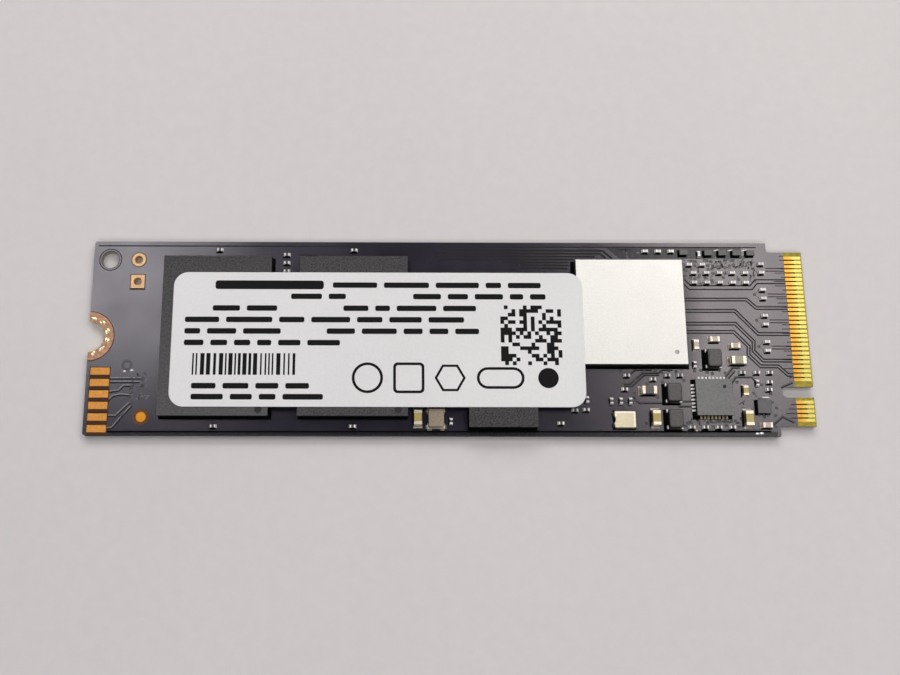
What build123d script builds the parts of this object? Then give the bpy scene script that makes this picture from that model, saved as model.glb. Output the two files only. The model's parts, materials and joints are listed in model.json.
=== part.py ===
from build123d import *
import os

# A plug-in solid state drive: a bare circuit card with its chips on the top face.
# Millimetres. +X points to the edge contacts, +Z up from the plain underside,
# and the origin is the middle of the underside.

# Zones along the card, from the screw end to the contact end: they add up to 80 mm
end_zone = 8.15
nand_width = 12.0
nand_gap = 3.15
bulk_zone = 6.6
dram_width = 7.5
controller_zone = 4.65
controller_side = 12.0
coupling_zone = 9.95
tongue_length = 4.0

# Zones across the card, from the back edge to the front edge: they add up to 22 mm
controller_edge_gap = 2.3
power_zone = 7.7

# Card
card_thickness = 0.8
foil = 0.04
plating = 0.05
corner_radius = 0.25
shoulder_radius = 0.3
tongue_bevel = 0.1

# Edge contacts and key slot
contact_pitch = 0.5
contact_width = 0.35
contact_length = 1.92
contact_end_gap = 0.05
contact_side_margin = 0.5
contact_positions = 38
contacts_before_key = 29
contacts_cut_by_key = 4
key_width = 1.2
key_depth = 3.5

# Screw notch, tooling hole, header pads, test pads and fiducial at the screw end
notch_radius = 1.75
ring_width = 1.0
tooling_hole_diameter = 2.0
tooling_hole_inset = (1.85, 2.15)
header_inset = (5.05, 2.15)
header_pitch = 2.54
header_pad = 1.55
header_hole = 0.9
test_pad_count = 6
test_pad_pitch = 1.27
test_pad_length = 2.1
test_pad_width = 0.8
test_pad_inset = (0.45, 0.32)
fiducial_diameter = 1.1
fiducial_inset = (6.25, 2.0)

# Ball grid packages, all of one height so that the label lies flat on them
ball_height = 0.22
ball_diameter = 0.4
package_height = 1.2
nand_length = 18.0
nand_ball_pitch = 1.0
nand_ball_margin = (0.9, 3.4)
dram_length = 13.0
dram_edge_gap = 0.8
dram_ball_pitch = 0.8
dram_ball_margin = (0.5, 0.4)
controller_ball_pitch = 0.8
controller_ball_margin = (0.7, 0.7)
substrate_thickness = 0.38
lid_inset = 0.05
mark_depth = 0.05
nand_mark_radius = 0.4
nand_mark_inset = (1.05, 0.65)
lid_mark_radius = 0.25
lid_mark_inset = (1.2, 1.4)

# Label
label_thickness = 0.1
label_width = 15.1
label_shift = -0.5
label_inset = 1.25
label_overlap = 0.62
label_radius = 1.6

# Power chip: places from here on are (distance from the shoulder, distance from the front edge)
power_chip_side = 4.0
power_chip_height = 0.75
power_chip_place = (7.22, 4.2)
lead_count = 8
lead_pitch = 0.4
lead_width = 0.22
lead_inside = 0.35
lead_outside = 0.34
lead_thickness = 0.06
thermal_pad_side = 2.6
power_mark_radius = 0.2
power_mark_inset = (0.85, 0.85)

# Load switch
switch_side = 1.5
switch_height = 0.6
switch_place = (1.77, 3.2)
switch_lead_pitch = 0.5
switch_lead_count = 3
switch_lead_outside = 0.27
switch_tab_width = 0.9

# Moulded parts stand on two low end terminals
moulded_terminal_length = 0.42
moulded_terminal_height = 0.3
moulded_terminal_proud = 0.1

# Inductors: width, length, height, radius of the corners and of the top edges
inductor_size = (1.6, 2.0, 1.0, 0.34, 0.2)
inductor_places = {
    "inductor_1": (6.95, 8.55),
    "inductor_2": (11.6, 4.7),
    "inductor_3": (11.6, 1.82),
}

# Crystal
crystal_length = 2.5
crystal_width = 2.0
crystal_base_height = 0.4
crystal_lid_height = 0.15
crystal_lid_inset = 0.12
crystal_lid_radius = 0.1
crystal_castellation = 0.2
crystal_side_notch = (0.22, 0.35)
crystal_place = (17.06, 1.76)

# Two-terminal chips: length, width, height and the length of each end terminal
chip_0201 = (0.6, 0.3, 0.3, 0.17)
chip_0402 = (1.05, 0.55, 0.5, 0.25)
chip_0603 = (1.6, 0.85, 0.8, 0.35)
terminal_proud = 0.015

# Larger capacitors: place and whether the chip lies across the card
capacitor_places = {
    "capacitor_1": ((4.25, 8.34), False),
    "capacitor_2": ((14.29, 4.98), False),
    "capacitor_3": ((13.66, 1.94), True),
    "capacitor_4": ((3.54, 1.91), True),
}
small_capacitor_places = {
    "small_capacitor_1": ((8.74, 10.13), True),
    "small_capacitor_2": ((6.66, 10.75), False),
    "small_capacitor_3": ((4.41, 10.02), False),
    "small_capacitor_4": ((3.63, 4.99), True),
    "small_capacitor_5": ((1.54, 1.18), False),
}

# Capacitors beside the second flash chip: distances from that chip and from the front edge,
# and the bulk capacitor's width, length, height, radius of its corners and of its top edges
flash_side_capacitor_place = (1.1, 1.93)
bulk_capacitor_place = (3.08, 1.85)
bulk_capacitor_size = (1.7, 2.0, 0.9, 0.16, 0.12)
bulk_bypass_place = (4.73, 1.56)

# Bypass chips of the flash
gap_chip_first = 1.55
gap_chip_pitch = 0.96
gap_chip_count = 3

# Coupling capacitors: two for each lane, in steps of the contact pitch
coupling_inset = 0.77
lane_count = 4
lane_steps = 6
lane_first_step = 16

# Bypass chips beside the controller, in rows: where each row starts past the controller's
# contact side (negative before it) and from the back edge, and how many chips it has
bypass_pitch = 1.46
bypass_starts = [(1.5, 4.67), (1.5, 3.54), (1.07, 2.58), (-3.82, 1.02)]
bypass_counts = [5, 5, 2, 3]
back_chip = (2.24, 1.33)

# Black beads along the back edge: distances from the shoulder and the back edge
bead_size = (0.9, 0.6, 0.45)
bead_first = (6.68, 1.25)
bead_pitch = 1.59
bead_count = 4
lone_bead = (9.5, 1.2)

# Small chips of the power area, lying along the card and across it
power_row_inset = (9.72, 0.96)
power_row_pitch = 1.475
power_row_count = 4
crystal_trio_inset = (18.37, 3.83)
crystal_trio_pitch = 1.04
crystal_trio_count = 3
power_along = [
    (16.56, 6.69),
    (12.09, 6.7),
    (10.71, 6.7),
    (13.7, 6.26),
    (16.86, 5.14),
    (3.78, 7.02),
    (2.18, 7.02),
    (0.75, 7.02),
    (0.86, 5.95),
    (0.97, 5.12),
    (24.0, 1.37),
    (21.18, 2.87),
    (22.42, 2.8),
]
power_across = [(2.22, 5.86), (8.97, 7.93), (21.02, 3.99)]

# Worked-out sizes and reference lines
flash_length = 2 * nand_width + nand_gap
card_length = (
    end_zone + flash_length + bulk_zone + dram_width
    + controller_zone + controller_side + coupling_zone + tongue_length
)
card_width = controller_edge_gap + controller_side + power_zone
screw_end = -card_length / 2
contact_end = card_length / 2
shoulder = contact_end - tongue_length
back_edge = card_width / 2
front_edge = -card_width / 2
flash_start = screw_end + end_zone
flash_end = flash_start + flash_length
dram_start = flash_end + bulk_zone
controller_end = shoulder - coupling_zone
controller_start = controller_end - controller_side
contact_span = (contact_positions - 1) * contact_pitch
tongue_width = contact_span + contact_width + 2 * contact_side_margin
key_centre = contact_span / 2 - contact_pitch * (contacts_before_key + contacts_cut_by_key / 2 - 0.25)
contact_centre = contact_end - tongue_bevel - contact_end_gap - contact_length / 2
ring_radius = notch_radius + ring_width
card_top = card_thickness
package_bottom = card_top + ball_height
label_bottom = card_top + package_height

nand_centres = [
    (flash_start + nand_width / 2, 0),
    (flash_end - nand_width / 2, 0),
]
dram_centre = (dram_start + dram_width / 2, front_edge + dram_edge_gap + dram_length / 2)
controller_centre = (
    controller_start + controller_side / 2,
    back_edge - controller_edge_gap - controller_side / 2,
)
tooling_hole_centre = (screw_end + tooling_hole_inset[0], back_edge - tooling_hole_inset[1])
round_header_centre = (screw_end + header_inset[0], back_edge - header_inset[1])
square_header_centre = (round_header_centre[0], round_header_centre[1] - header_pitch)
fiducial_centre = (screw_end + fiducial_inset[0], front_edge + fiducial_inset[1])

os.makedirs("parts", exist_ok=True)


def save(builder, name):
    builder.part.label = name
    export_step(builder.part, f"parts/{name}.step")


def from_shoulder(place):
    """A place given from the shoulder and the front edge."""
    return (shoulder - place[0], front_edge + place[1])


def beside_flash(place):
    """A place given from the second flash chip and the front edge."""
    return (flash_end + place[0], front_edge + place[1])


def row(start, pitch, count):
    """Places in a row along the card."""
    return [(start[0] + pitch * step, start[1]) for step in range(count)]


def ball_ring(centre, length, width, pitch, margin):
    """Places of the outer row of balls under a package of this length and width."""
    columns = int((length - 2 * margin[0]) / pitch) + 1
    rows = int((width - 2 * margin[1]) / pitch) + 1
    places = []
    for column in range(columns):
        for line in range(rows):
            if column in (0, columns - 1) or line in (0, rows - 1):
                x = centre[0] + pitch * (column - (columns - 1) / 2)
                y = centre[1] + pitch * (line - (rows - 1) / 2)
                places.append((x, y))
    return places


def make_balls(name, places):
    with BuildPart() as balls:
        with BuildSketch(Plane.XY.offset(card_top)):
            with Locations(*places):
                Circle(ball_diameter / 2)
        extrude(amount=ball_height)
    save(balls, name)


def make_blocks(name, places, length, width, bottom, height):
    with BuildPart() as blocks:
        with BuildSketch(Plane.XY.offset(bottom)):
            with Locations(*places):
                Rectangle(length, width)
        extrude(amount=height)
    save(blocks, name)


def sketch_chips(along, across, length, width):
    """Rectangles at places along the card, and turned ones at places across it."""
    if along:
        with Locations(*along):
            Rectangle(length, width)
    if across:
        with Locations(*across):
            Rectangle(width, length)


def make_chip_bodies(name, along, across, chip):
    length, width, height, terminal = chip
    with BuildPart() as bodies:
        with BuildSketch(Plane.XY.offset(card_top)):
            sketch_chips(along, across, length - 2 * terminal, width)
        extrude(amount=height)
    save(bodies, name)


def make_chip_terminals(name, along, across, chip):
    length, width, height, terminal = chip
    reach = (length - terminal) / 2
    ends_along = [(x + side * reach, y) for x, y in along for side in (-1, 1)]
    ends_across = [(x, y + side * reach) for x, y in across for side in (-1, 1)]
    with BuildPart() as terminals:
        with BuildSketch(Plane.XY.offset(card_top)):
            sketch_chips(ends_along, ends_across, terminal, width + 2 * terminal_proud)
        extrude(amount=height + terminal_proud)
    save(terminals, name)


def make_chips(name, along, across, chip):
    make_chip_bodies(f"{name}_bodies", along, across, chip)
    make_chip_terminals(f"{name}_terminals", along, across, chip)


def make_moulded(name, centre, size):
    """A moulded block with rounded corners and top edges, notched for its two low end terminals."""
    width, length, height, corner_radius, edge_radius = size
    terminal_reach = (length - moulded_terminal_length) / 2 + moulded_terminal_proud
    terminal_centres = [(centre[0], centre[1] + side * terminal_reach) for side in (-1, 1)]
    terminal_width = width + 2 * moulded_terminal_proud
    make_blocks(
        f"{name}_terminals", terminal_centres, terminal_width, moulded_terminal_length,
        card_top, moulded_terminal_height,
    )
    with BuildPart() as body:
        with BuildSketch(Plane.XY.offset(card_top)):
            with Locations(centre):
                RectangleRounded(width, length, corner_radius)
        extrude(amount=height)
        fillet(body.faces().sort_by(Axis.Z)[-1].edges(), edge_radius)
        with BuildSketch(Plane.XY.offset(card_top)):
            with Locations(*terminal_centres):
                Rectangle(terminal_width, moulded_terminal_length)
        extrude(amount=moulded_terminal_height, mode=Mode.SUBTRACT)
    save(body, f"{name}_body")


def make_capacitor(name, place, turned, chip):
    along = [] if turned else [place]
    across = [place] if turned else []
    make_chip_bodies(f"{name}_body", along, across, chip)
    make_chip_terminals(f"{name}_terminals", along, across, chip)


# Edge contacts: the underside row lies half a pitch off the top row
top_row = contact_span / 2
bottom_row = top_row - contact_pitch / 2
top_steps = [
    step
    for step in range(contact_positions)
    if not contacts_before_key <= step < contacts_before_key + contacts_cut_by_key
]
bottom_steps = [step for step in top_steps if step < contact_positions - 1]
top_contacts = [(contact_centre, top_row - step * contact_pitch) for step in top_steps]
bottom_contacts = [(contact_centre, bottom_row - step * contact_pitch) for step in bottom_steps]

# Circuit card
with BuildPart() as card:
    with BuildSketch():
        with BuildLine():
            Polyline(
                (screw_end, front_edge),
                (shoulder, front_edge),
                (shoulder, -tongue_width / 2),
                (contact_end, -tongue_width / 2),
                (contact_end, tongue_width / 2),
                (shoulder, tongue_width / 2),
                (shoulder, back_edge),
                (screw_end, back_edge),
                close=True,
            )
        make_face()
    extrude(amount=card_thickness)
    upright = card.edges().filter_by(Axis.Z)
    fillet(upright.filter_by_position(Axis.X, screw_end, screw_end), corner_radius)
    shoulder_edges = upright.filter_by_position(Axis.X, shoulder, shoulder)
    inner_corners = shoulder_edges.filter_by_position(Axis.Y, -tongue_width / 2, tongue_width / 2)
    fillet(inner_corners, shoulder_radius)
    end_face = card.faces().sort_by(Axis.X)[-1]
    chamfer(end_face.edges().filter_by(Axis.Y), tongue_bevel)
    with BuildSketch():
        with Locations((contact_end, key_centre)):
            SlotOverall(2 * key_depth, key_width)
        with Locations((screw_end, 0)):
            Circle(notch_radius)
        with Locations(tooling_hole_centre):
            Circle(tooling_hole_diameter / 2)
        with Locations(round_header_centre, square_header_centre):
            Circle(header_hole / 2 + plating)
    extrude(amount=card_thickness, mode=Mode.SUBTRACT)
    with BuildSketch():
        with Locations(*bottom_contacts):
            Rectangle(contact_length, contact_width)
        with Locations((screw_end, 0)):
            Circle(ring_radius)
        with Locations(round_header_centre):
            Circle(header_pad / 2)
        with Locations(square_header_centre):
            Rectangle(header_pad, header_pad)
    extrude(amount=foil, mode=Mode.SUBTRACT)
save(card, "circuit_card")

# Edge contacts
make_blocks("edge_contacts_top", top_contacts, contact_length, contact_width, card_top, foil)
make_blocks("edge_contacts_bottom", bottom_contacts, contact_length, contact_width, 0, foil)

# Plated half rings around the screw notch, one on each face
with BuildPart() as ring:
    for bottom in (0, card_top):
        with BuildSketch(Plane.XY.offset(bottom)):
            with Locations((screw_end, 0)):
                Circle(ring_radius)
                Circle(notch_radius, mode=Mode.SUBTRACT)
        extrude(amount=foil)
    split(bisect_by=Plane.YZ.offset(screw_end), keep=Keep.TOP)
save(ring, "screw_ring")

# Plated header holes, one with a round pad and one with a square pad
with BuildPart() as round_header:
    for bottom in (0, card_top):
        with BuildSketch(Plane.XY.offset(bottom)):
            with Locations(round_header_centre):
                Circle(header_pad / 2)
        extrude(amount=foil)
    with BuildSketch():
        with Locations(round_header_centre):
            Circle(header_hole / 2 + plating)
    extrude(amount=card_top + foil)
    with BuildSketch():
        with Locations(round_header_centre):
            Circle(header_hole / 2)
    extrude(amount=card_top + foil, mode=Mode.SUBTRACT)
save(round_header, "header_pad_round")

with BuildPart() as square_header:
    for bottom in (0, card_top):
        with BuildSketch(Plane.XY.offset(bottom)):
            with Locations(square_header_centre):
                Rectangle(header_pad, header_pad)
        extrude(amount=foil)
    with BuildSketch():
        with Locations(square_header_centre):
            Circle(header_hole / 2 + plating)
    extrude(amount=card_top + foil)
    with BuildSketch():
        with Locations(square_header_centre):
            Circle(header_hole / 2)
    extrude(amount=card_top + foil, mode=Mode.SUBTRACT)
save(square_header, "header_pad_square")

# Test pads, counted up from the front edge
test_pad_x = screw_end + test_pad_inset[0] + test_pad_length / 2
test_pad_y = front_edge + test_pad_inset[1] + test_pad_width / 2
test_pads = [(test_pad_x, test_pad_y + test_pad_pitch * step) for step in range(test_pad_count)]
make_blocks("test_pads", test_pads, test_pad_length, test_pad_width, card_top, foil)

# Fiducial dot
with BuildPart() as fiducial:
    with BuildSketch(Plane.XY.offset(card_top)):
        with Locations(fiducial_centre):
            Circle(fiducial_diameter / 2)
    extrude(amount=foil)
save(fiducial, "fiducial")

# Flash chips, each with a shallow pin mark near its front corner
for number, centre in enumerate(nand_centres, start=1):
    nand_balls = ball_ring(centre, nand_width, nand_length, nand_ball_pitch, nand_ball_margin)
    make_balls(f"flash_balls_{number}", nand_balls)
    mark_centre = (
        centre[0] + nand_width / 2 - nand_mark_inset[0],
        centre[1] - nand_length / 2 + nand_mark_inset[1],
    )
    with BuildPart() as nand:
        with BuildSketch(Plane.XY.offset(package_bottom)):
            with Locations(centre):
                Rectangle(nand_width, nand_length)
        extrude(amount=package_height - ball_height)
        with BuildSketch(Plane.XY.offset(label_bottom)):
            with Locations(mark_centre):
                Circle(nand_mark_radius)
        extrude(amount=-mark_depth, mode=Mode.SUBTRACT)
    save(nand, f"flash_chip_{number}")

# Buffer memory chip
dram_balls = ball_ring(dram_centre, dram_width, dram_length, dram_ball_pitch, dram_ball_margin)
make_balls("buffer_balls", dram_balls)
make_blocks(
    "buffer_chip", [dram_centre], dram_width, dram_length,
    package_bottom, package_height - ball_height,
)

# Controller: substrate on its balls, with a metal lid that carries a shallow pin mark
controller_balls = ball_ring(
    controller_centre, controller_side, controller_side,
    controller_ball_pitch, controller_ball_margin,
)
make_balls("controller_balls", controller_balls)
make_blocks(
    "controller_substrate", [controller_centre], controller_side, controller_side,
    package_bottom, substrate_thickness,
)
lid_side = controller_side - 2 * lid_inset
lid_mark_centre = (
    controller_end - lid_mark_inset[0],
    controller_centre[1] - controller_side / 2 + lid_mark_inset[1],
)
with BuildPart() as lid:
    with BuildSketch(Plane.XY.offset(package_bottom + substrate_thickness)):
        with Locations(controller_centre):
            Rectangle(lid_side, lid_side)
    extrude(amount=package_height - ball_height - substrate_thickness)
    with BuildSketch(Plane.XY.offset(label_bottom)):
        with Locations(lid_mark_centre):
            Circle(lid_mark_radius)
    extrude(amount=-mark_depth, mode=Mode.SUBTRACT)
save(lid, "controller_lid")

# Label: lies on the flash chips, the buffer chip and the near edge of the controller
label_start = flash_start + label_inset
label_end = controller_start + label_overlap
with BuildPart() as label:
    with BuildSketch(Plane.XY.offset(label_bottom)):
        with Locations(((label_start + label_end) / 2, label_shift)):
            RectangleRounded(label_end - label_start, label_width, label_radius)
    extrude(amount=label_thickness)
save(label, "label")

# Power chip on its solder pads
power_centre = from_shoulder(power_chip_place)
lead_length = lead_inside + lead_outside
lead_reach = power_chip_side / 2 + (lead_outside - lead_inside) / 2
with BuildPart() as power_leads:
    with BuildSketch(Plane.XY.offset(card_top)):
        with Locations(power_centre):
            Rectangle(thermal_pad_side, thermal_pad_side)
            with Locations((-lead_reach, 0), (lead_reach, 0)):
                with GridLocations(0, lead_pitch, 1, lead_count):
                    Rectangle(lead_length, lead_width)
            with Locations((0, -lead_reach), (0, lead_reach)):
                with GridLocations(lead_pitch, 0, lead_count, 1):
                    Rectangle(lead_width, lead_length)
    extrude(amount=lead_thickness)
save(power_leads, "power_chip_pads")

power_mark_centre = (
    power_centre[0] + power_chip_side / 2 - power_mark_inset[0],
    power_centre[1] + power_chip_side / 2 - power_mark_inset[1],
)
with BuildPart() as power_chip:
    with BuildSketch(Plane.XY.offset(card_top + lead_thickness)):
        with Locations(power_centre):
            Rectangle(power_chip_side, power_chip_side)
    extrude(amount=power_chip_height - lead_thickness)
    with BuildSketch(Plane.XY.offset(card_top + power_chip_height)):
        with Locations(power_mark_centre):
            Circle(power_mark_radius)
    extrude(amount=-mark_depth, mode=Mode.SUBTRACT)
save(power_chip, "power_chip")

# Load switch: a wide tab on its back side and short leads on its front side
switch_centre = from_shoulder(switch_place)
switch_lead_length = lead_inside + switch_lead_outside
switch_reach = switch_side / 2 + (switch_lead_outside - lead_inside) / 2
with BuildPart() as switch_leads:
    with BuildSketch(Plane.XY.offset(card_top)):
        with Locations(switch_centre):
            with Locations((0, switch_reach)):
                Rectangle(switch_tab_width, switch_lead_length)
            with Locations((0, -switch_reach)):
                with GridLocations(switch_lead_pitch, 0, switch_lead_count, 1):
                    Rectangle(lead_width, switch_lead_length)
    extrude(amount=lead_thickness)
save(switch_leads, "load_switch_pads")
make_blocks(
    "load_switch", [switch_centre], switch_side, switch_side,
    card_top + lead_thickness, switch_height - lead_thickness,
)

# Inductors
for name, place in inductor_places.items():
    make_moulded(name, from_shoulder(place), inductor_size)

# Crystal: ceramic base with quarter-round castellated corners and a metal lid, both notched on one side
crystal_notch_place = (-crystal_length / 2, 0)
crystal_centre = from_shoulder(crystal_place)
with BuildPart() as crystal_base:
    with BuildSketch(Plane.XY.offset(card_top)):
        with Locations(crystal_centre):
            Rectangle(crystal_length, crystal_width)
            with GridLocations(crystal_length, crystal_width, 2, 2):
                Circle(crystal_castellation, mode=Mode.SUBTRACT)
            with Locations(crystal_notch_place):
                Ellipse(*crystal_side_notch, mode=Mode.SUBTRACT)
    extrude(amount=crystal_base_height)
save(crystal_base, "crystal_base")
with BuildPart() as crystal_lid:
    with BuildSketch(Plane.XY.offset(card_top + crystal_base_height)):
        with Locations(crystal_centre):
            RectangleRounded(
                crystal_length - 2 * crystal_lid_inset,
                crystal_width - 2 * crystal_lid_inset,
                crystal_lid_radius,
            )
            with Locations(crystal_notch_place):
                Ellipse(*crystal_side_notch, mode=Mode.SUBTRACT)
    extrude(amount=crystal_lid_height)
save(crystal_lid, "crystal_lid")

# Larger capacitors
for name, (place, turned) in capacitor_places.items():
    make_capacitor(name, from_shoulder(place), turned, chip_0603)
make_capacitor("capacitor_5", beside_flash(flash_side_capacitor_place), True, chip_0603)
make_moulded("bulk_capacitor", beside_flash(bulk_capacitor_place), bulk_capacitor_size)

# Small capacitors: a body each, with all their end terminals in one group
small_along = []
small_across = []
for name, (place, turned) in small_capacitor_places.items():
    centre = from_shoulder(place)
    make_chip_bodies(f"{name}_body", [] if turned else [centre], [centre] if turned else [], chip_0402)
    if turned:
        small_across.append(centre)
    else:
        small_along.append(centre)
make_chip_terminals("small_capacitor_terminals", small_along, small_across, chip_0402)

# Bypass chips of the flash: one in the strip beside each end of a chip, and a column between the chips
strip_middle = (nand_length / 2 + back_edge) / 2
flash_bypass = [(x, side * strip_middle) for x, _ in nand_centres for side in (-1, 1)]
gap_middle = (nand_centres[0][0] + nand_centres[1][0]) / 2
for step in range(gap_chip_count):
    flash_bypass.append((gap_middle, back_edge - gap_chip_first - gap_chip_pitch * step))
make_chips("flash_bypass", flash_bypass, [beside_flash(bulk_bypass_place)], chip_0201)

# Coupling capacitors, in line with the contacts of each lane
coupling_places = [
    (shoulder - coupling_inset, contact_pitch * (lane_first_step - lane_steps * lane + side))
    for lane in range(lane_count)
    for side in (1, -1)
]
make_chips("coupling_capacitor", coupling_places, [], chip_0201)

# Bypass chips of the controller
controller_bypass = []
for (past, distance), count in zip(bypass_starts, bypass_counts):
    controller_bypass += row((controller_end + past, back_edge - distance), bypass_pitch, count)
back_chip_centre = (controller_end + back_chip[0], back_edge - back_chip[1])
make_chips("controller_bypass", controller_bypass, [back_chip_centre], chip_0201)

# Beads along the back edge
beads = row((shoulder - bead_first[0], back_edge - bead_first[1]), bead_pitch, bead_count)
beads.append((shoulder - lone_bead[0], back_edge - lone_bead[1]))
make_blocks("beads", beads, bead_size[0], bead_size[1], card_top, bead_size[2])

# Small chips of the power area
along = [from_shoulder(place) for place in power_along]
along += row(from_shoulder(power_row_inset), power_row_pitch, power_row_count)
across = [from_shoulder(place) for place in power_across]
across += row(from_shoulder(crystal_trio_inset), crystal_trio_pitch, crystal_trio_count)
make_chips("power_bypass", along, across, chip_0201)
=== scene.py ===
"""Looks of a plug-in solid state drive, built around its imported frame."""

import json
import math
import random

import bmesh
import bpy
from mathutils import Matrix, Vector


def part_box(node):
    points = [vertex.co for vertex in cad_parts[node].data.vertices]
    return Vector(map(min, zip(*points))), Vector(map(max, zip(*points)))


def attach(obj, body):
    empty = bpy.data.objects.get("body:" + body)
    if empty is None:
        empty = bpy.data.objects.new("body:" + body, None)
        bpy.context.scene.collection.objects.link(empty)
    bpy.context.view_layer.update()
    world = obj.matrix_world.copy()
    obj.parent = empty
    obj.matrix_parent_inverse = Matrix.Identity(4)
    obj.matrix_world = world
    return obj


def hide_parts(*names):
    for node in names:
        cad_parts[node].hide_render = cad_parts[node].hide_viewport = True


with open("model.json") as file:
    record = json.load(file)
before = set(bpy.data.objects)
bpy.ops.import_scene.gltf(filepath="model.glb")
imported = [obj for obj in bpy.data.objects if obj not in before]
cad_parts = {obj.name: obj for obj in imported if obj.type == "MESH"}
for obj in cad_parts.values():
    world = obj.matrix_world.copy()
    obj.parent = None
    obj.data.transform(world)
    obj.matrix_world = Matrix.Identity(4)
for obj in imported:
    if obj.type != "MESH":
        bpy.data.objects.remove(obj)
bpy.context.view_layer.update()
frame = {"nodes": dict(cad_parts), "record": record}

# Sizes and places below are millimetres in the part's frame: +X to the contacts, +Y to the back edge
MM = 0.001
WELD_GAP = 0.001


def box_mm(node):
    low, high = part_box(node)
    return low / MM, high / MM


card_low, card_high = box_mm("circuit_card")
SCREW_END = card_low.x
FRONT_EDGE = card_low.y
BACK_EDGE = card_high.y
CARD_TOP = card_high.z
CONTACT_START = box_mm("edge_contacts_top")[0].x
FOIL_TOP = box_mm("edge_contacts_top")[1].z
TOOLING_HOLE = (SCREW_END + 1.85, BACK_EDGE - 2.15)

# Heights of the thin layers on the card
FIELD_HEIGHT = 0.003
LINE_HEIGHT = 0.006
OPENING_HEIGHT = 0.008
VIA_HEIGHT = 0.012

# Two-terminal parts: the nodes of their bodies, and the node of their terminals
BYPASS_CHIPS = ["flash_bypass", "coupling_capacitor", "controller_bypass", "power_bypass"]
BYPASS_GROUPS = [([f"{name}_bodies"], f"{name}_terminals") for name in BYPASS_CHIPS]
CAPACITOR_GROUPS = [([f"small_capacitor_{n}_body" for n in range(1, 6)], "small_capacitor_terminals")]
CAPACITOR_GROUPS += [([f"capacitor_{n}_body"], f"capacitor_{n}_terminals") for n in range(1, 6)]
INDUCTORS = [f"inductor_{n}" for n in range(1, 4)]


# Outlines

def rectangle(x0, y0, x1, y1):
    return [(x0, y0), (x1, y0), (x1, y1), (x0, y1)]


def arc(x, y, radius, start, end, steps):
    """Points on an arc, angles in degrees, both ends included."""
    angles = [math.radians(start + (end - start) * i / steps) for i in range(steps + 1)]
    return [(x + radius * math.cos(a), y + radius * math.sin(a)) for a in angles]


def circle(x, y, radius, steps=24):
    return arc(x, y, radius, 0, 360, steps)[:-1]


def ellipse(x, y, half_length, half_width, turn, steps=12):
    """An ellipse whose length is turned by this angle in degrees from +X."""
    along = Vector((math.cos(math.radians(turn)), math.sin(math.radians(turn))))
    across = Vector((-along.y, along.x))
    points = [along * (half_length * a) + across * (half_width * b) for a, b in circle(0, 0, 1, steps)]
    return [(x + p.x, y + p.y) for p in points]


def rounded(x0, y0, x1, y1, radius, steps=6):
    """A rectangle with round corners, counter-clockwise."""
    points = arc(x1 - radius, y0 + radius, radius, -90, 0, steps)
    points += arc(x1 - radius, y1 - radius, radius, 0, 90, steps)
    points += arc(x0 + radius, y1 - radius, radius, 90, 180, steps)
    points += arc(x0 + radius, y0 + radius, radius, 180, 270, steps)
    return points


def rounded_about(x, y, half_length, half_width, radius):
    return rounded(x - half_length, y - half_width, x + half_length, y + half_width, radius)


def shifted_path(points, distance):
    """A path moved sideways by this distance, to its left where it is positive, with mitred bends."""
    points = [Vector(p) for p in points]
    steps = [(b - a).normalized() for a, b in zip(points, points[1:])]
    sides = [Vector((-s.y, s.x)) for s in steps]
    moved = [points[0] + sides[0] * distance]
    for point, before, after in zip(points[1:-1], sides, sides[1:]):
        middle = (before + after).normalized()
        moved.append(point + middle * (distance / middle.dot(after)))
    moved.append(points[-1] + sides[-1] * distance)
    return [(p.x, p.y) for p in moved]


def ribbon(points, width):
    """The outline of a path drawn with this width."""
    right = shifted_path(points, -width / 2)
    left = shifted_path(points, width / 2)
    return right + left[::-1]


def added(name, data):
    """A new object in the scene."""
    thing = bpy.data.objects.new(name, data)
    bpy.context.scene.collection.objects.link(thing)
    return thing


# Materials by name, each added as it is made
FINISHES = {}


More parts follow.
